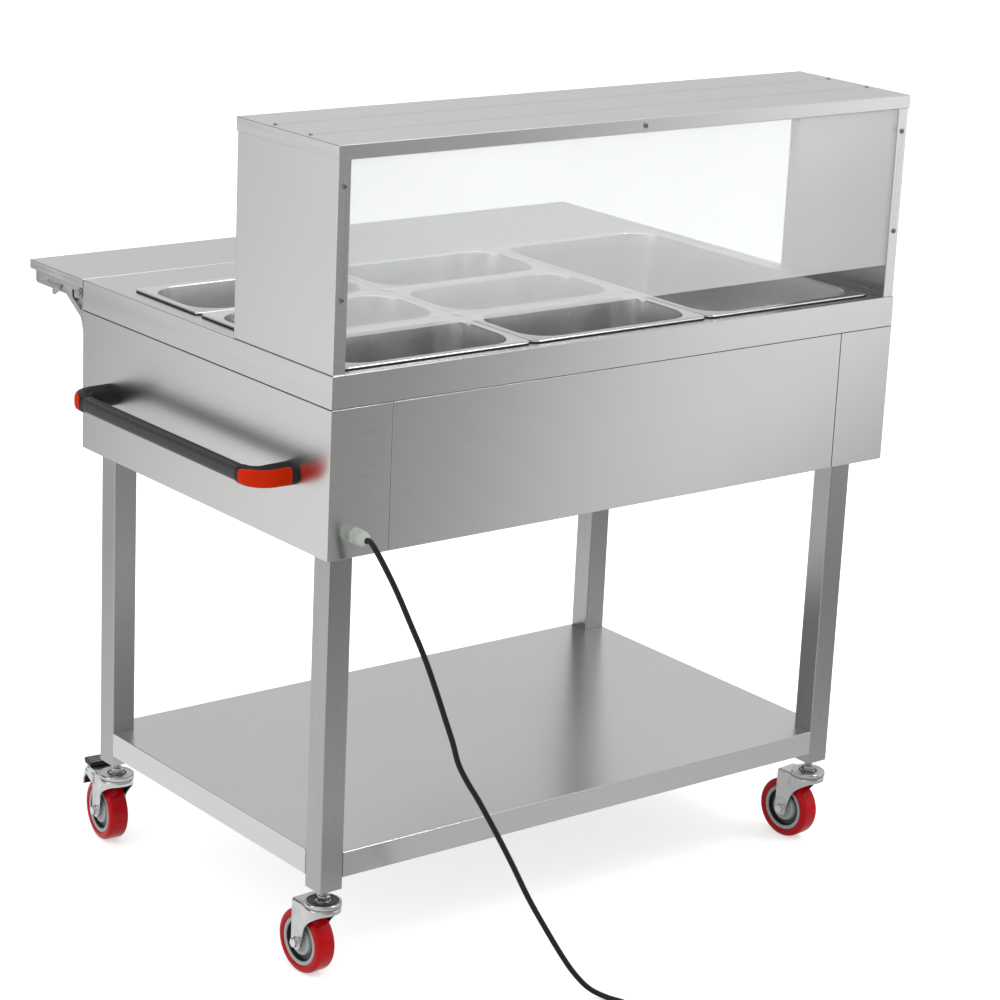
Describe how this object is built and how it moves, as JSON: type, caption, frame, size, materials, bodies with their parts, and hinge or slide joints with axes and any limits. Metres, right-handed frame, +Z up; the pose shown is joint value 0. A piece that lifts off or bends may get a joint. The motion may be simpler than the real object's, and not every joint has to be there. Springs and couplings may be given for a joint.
{
  "type": "mobile steam table",
  "caption": "Steam table on casters: steel deck with lift-out pans over a water tank, glass guard, drop leaf, undershelf and push handle.",
  "frame": {"origin": "on the floor, under the middle of the outer box measured without the mains cord, its gland and plug", "axes": "+X along the deck's length, away from the handle; +Y from the guard side to the leaf side; +Z up"},
  "size_m": [1.1086, 1.1843, 1.2024],
  "materials": {
    "brushed_sheet": "brushed, satin",
    "leg_tube": "brushed lengthwise",
    "pan_steel": "polished satin",
    "tank_steel": "mill finish",
    "inner_steel": "zinc coated",
    "zinc": "bright zinc plate",
    "screw_steel": "machined",
    "glass": "clear tempered",
    "handle_black": "fine grain",
    "cap_orange": "moulded",
    "gland_grey": "nylon",
    "cord_black": "smooth jacket",
    "black_plastic": "moulded",
    "white_plastic": "moulded",
    "lamp_amber": "clear lens",
    "heater_steel": "heat tinted",
    "brass": "cast and machined",
    "lever_red": "dipped",
    "core_grey": "moulded nylon",
    "tread_red": "polyurethane",
    "pedal_black": "ribbed"
  },
  "bodies": {
    "root": {"deck_top": "brushed_sheet", "end_panel_left": "brushed_sheet", "end_panel_right": "brushed_sheet", "rear_panel": "brushed_sheet", "control_panel": "brushed_sheet", "bottom_cover": "brushed_sheet", "base_frame": "inner_steel", "water_tank": "tank_steel", "heating_element": "heater_steel", "pan_dividers": "brushed_sheet", "legs": "leg_tube", "undershelf": "brushed_sheet", "guard_side_left": "brushed_sheet", "guard_side_right": "brushed_sheet", "guard_top_shelf": "brushed_sheet", "guard_glass": "glass", "panel_screws": "screw_steel", "handle_bar": "handle_black", "handle_elbows": "handle_black", "handle_caps": "cap_orange", "cable_gland": "gland_grey", "power_cord": "cord_black", "cord_coil": "cord_black", "power_plug": "black_plastic", "thermostat_body": "white_plastic", "indicator_lamp": "lamp_amber", "switch_frame": "black_plastic", "drain_valve": "brass", "caster_stems": "zinc", "leaf_wall_rails": "zinc"},
    "leaf": {"leaf_board": "brushed_sheet", "leaf_rails": "zinc"},
    "brace_left": {"brace_left": "zinc"},
    "brace_right": {"brace_right": "zinc"},
    "tab_left": {"release_tab_left": "zinc"},
    "tab_right": {"release_tab_right": "zinc"},
    "knob": {"thermostat_knob": "black_plastic"},
    "rocker": {"switch_rocker": "black_plastic"},
    "drain_lever": {"drain_lever": "lever_red"},
    "pan_small_1": {"pan_small_1": "pan_steel"},
    "pan_small_2": {"pan_small_2": "pan_steel"},
    "pan_small_3": {"pan_small_3": "pan_steel"},
    "pan_small_4": {"pan_small_4": "pan_steel"},
    "pan_small_5": {"pan_small_5": "pan_steel"},
    "pan_small_6": {"pan_small_6": "pan_steel"},
    "pan_large": {"pan_large": "pan_steel"},
    "caster_near_left": {"caster_fork_near_left": "zinc"},
    "wheel_near_left": {"wheel_core_near_left": "core_grey", "wheel_tread_near_left": "tread_red"},
    "caster_near_right": {"caster_fork_near_right": "zinc"},
    "wheel_near_right": {"wheel_core_near_right": "core_grey", "wheel_tread_near_right": "tread_red"},
    "caster_far_left": {"caster_fork_far_left": "zinc"},
    "wheel_far_left": {"wheel_core_far_left": "core_grey", "wheel_tread_far_left": "tread_red"},
    "pedal_far_left": {"brake_pedal_far_left": "pedal_black"},
    "caster_far_right": {"caster_fork_far_right": "zinc"},
    "wheel_far_right": {"wheel_core_far_right": "core_grey", "wheel_tread_far_right": "tread_red"},
    "pedal_far_right": {"brake_pedal_far_right": "pedal_black"}
  },
  "joints": [
    {"name": "leaf_fold", "type": "hinge", "parent": "root", "child": "leaf", "pos_m": [0.0345, 0.2627, 0.868], "axis": [-1, 0, 0], "range_deg": [0, 90]},
    {"name": "brace_fold_left", "type": "hinge", "parent": "root", "child": "brace_left", "pos_m": [-0.4735, 0.2527, 0.83], "axis": [-1, 0, 0], "range_deg": [0, 125]},
    {"name": "tab_press_left", "type": "hinge", "parent": "leaf", "child": "tab_left", "pos_m": [-0.48355, 0.3187, 0.865], "axis": [1, 0, 0], "range_deg": [0, 18], "stiffness_Nm_per_rad": 0.05},
    {"name": "brace_fold_right", "type": "hinge", "parent": "root", "child": "brace_right", "pos_m": [0.5425, 0.2527, 0.83], "axis": [-1, 0, 0], "range_deg": [0, 125]},
    {"name": "tab_press_right", "type": "hinge", "parent": "leaf", "child": "tab_right", "pos_m": [0.55255, 0.3187, 0.865], "axis": [1, 0, 0], "range_deg": [0, 18], "stiffness_Nm_per_rad": 0.05},
    {"name": "knob_turn", "type": "hinge", "parent": "root", "child": "knob", "pos_m": [0.2245, 0.2447, 0.678], "axis": [0, -1, 0], "range_deg": [0, 270]},
    {"name": "switch_press", "type": "hinge", "parent": "root", "child": "rocker", "pos_m": [0.3365, 0.2437, 0.678], "axis": [0, 0, 1], "range_deg": [0, 14]},
    {"name": "drain_turn", "type": "hinge", "parent": "root", "child": "drain_lever", "pos_m": [0.1845, 0.1019, 0.605], "axis": [0, 1, 0], "range_deg": [0, 90]},
    {"name": "pan_small_1_lift", "type": "slide", "parent": "root", "child": "pan_small_1", "axis": [0, 0, 1], "range_m": [0, 0.16]},
    {"name": "pan_small_2_lift", "type": "slide", "parent": "root", "child": "pan_small_2", "axis": [0, 0, 1], "range_m": [0, 0.16]},
    {"name": "pan_small_3_lift", "type": "slide", "parent": "root", "child": "pan_small_3", "axis": [0, 0, 1], "range_m": [0, 0.16]},
    {"name": "pan_small_4_lift", "type": "slide", "parent": "root", "child": "pan_small_4", "axis": [0, 0, 1], "range_m": [0, 0.16]},
    {"name": "pan_small_5_lift", "type": "slide", "parent": "root", "child": "pan_small_5", "axis": [0, 0, 1], "range_m": [0, 0.16]},
    {"name": "pan_small_6_lift", "type": "slide", "parent": "root", "child": "pan_small_6", "axis": [0, 0, 1], "range_m": [0, 0.16]},
    {"name": "pan_large_lift", "type": "slide", "parent": "root", "child": "pan_large", "axis": [0, 0, 1], "range_m": [0, 0.16]},
    {"name": "swivel_near_left", "type": "hinge", "parent": "root", "child": "caster_near_left", "pos_m": [-0.4505, -0.3653, 0.113], "axis": [0, 0, 1], "continuous": true},
    {"name": "roll_near_left", "type": "hinge", "parent": "caster_near_left", "child": "wheel_near_left", "pos_m": [-0.45228, -0.33135, 0.048], "axis": [0.9986, 0.0523, 0], "continuous": true},
    {"name": "swivel_near_right", "type": "hinge", "parent": "root", "child": "caster_near_right", "pos_m": [0.4855, -0.3653, 0.113], "axis": [0, 0, 1], "continuous": true},
    {"name": "roll_near_right", "type": "hinge", "parent": "caster_near_right", "child": "wheel_near_right", "pos_m": [0.48195, -0.33149, 0.048], "axis": [0.9945, 0.1045, 0], "continuous": true},
    {"name": "swivel_far_left", "type": "hinge", "parent": "root", "child": "caster_far_left", "pos_m": [-0.4505, 0.1947, 0.113], "axis": [0, 0, 1], "continuous": true},
    {"name": "roll_far_left", "type": "hinge", "parent": "caster_far_left", "child": "wheel_far_left", "pos_m": [-0.44695, 0.22851, 0.048], "axis": [0.9945, -0.1045, 0], "continuous": true},
    {"name": "brake_far_left", "type": "hinge", "parent": "caster_far_left", "child": "pedal_far_left", "pos_m": [-0.44339, 0.26233, 0.102], "axis": [-0.9945, 0.1045, 0], "range_deg": [0, 10]},
    {"name": "swivel_far_right", "type": "hinge", "parent": "root", "child": "caster_far_right", "pos_m": [0.4855, 0.1947, 0.113], "axis": [0, 0, 1], "continuous": true},
    {"name": "roll_far_right", "type": "hinge", "parent": "caster_far_right", "child": "wheel_far_right", "pos_m": [0.49257, 0.22796, 0.048], "axis": [0.9781, -0.2079, 0], "continuous": true},
    {"name": "brake_far_right", "type": "hinge", "parent": "caster_far_right", "child": "pedal_far_right", "pos_m": [0.49964, 0.26121, 0.102], "axis": [-0.9781, 0.2079, 0], "range_deg": [0, 10]}
  ],
  "couplings": [
    {"joint": "brace_fold_left", "follows": "leaf_fold", "ratio": 1.2619},
    {"joint": "brace_fold_right", "follows": "leaf_fold", "ratio": 1.2619}
  ]
}
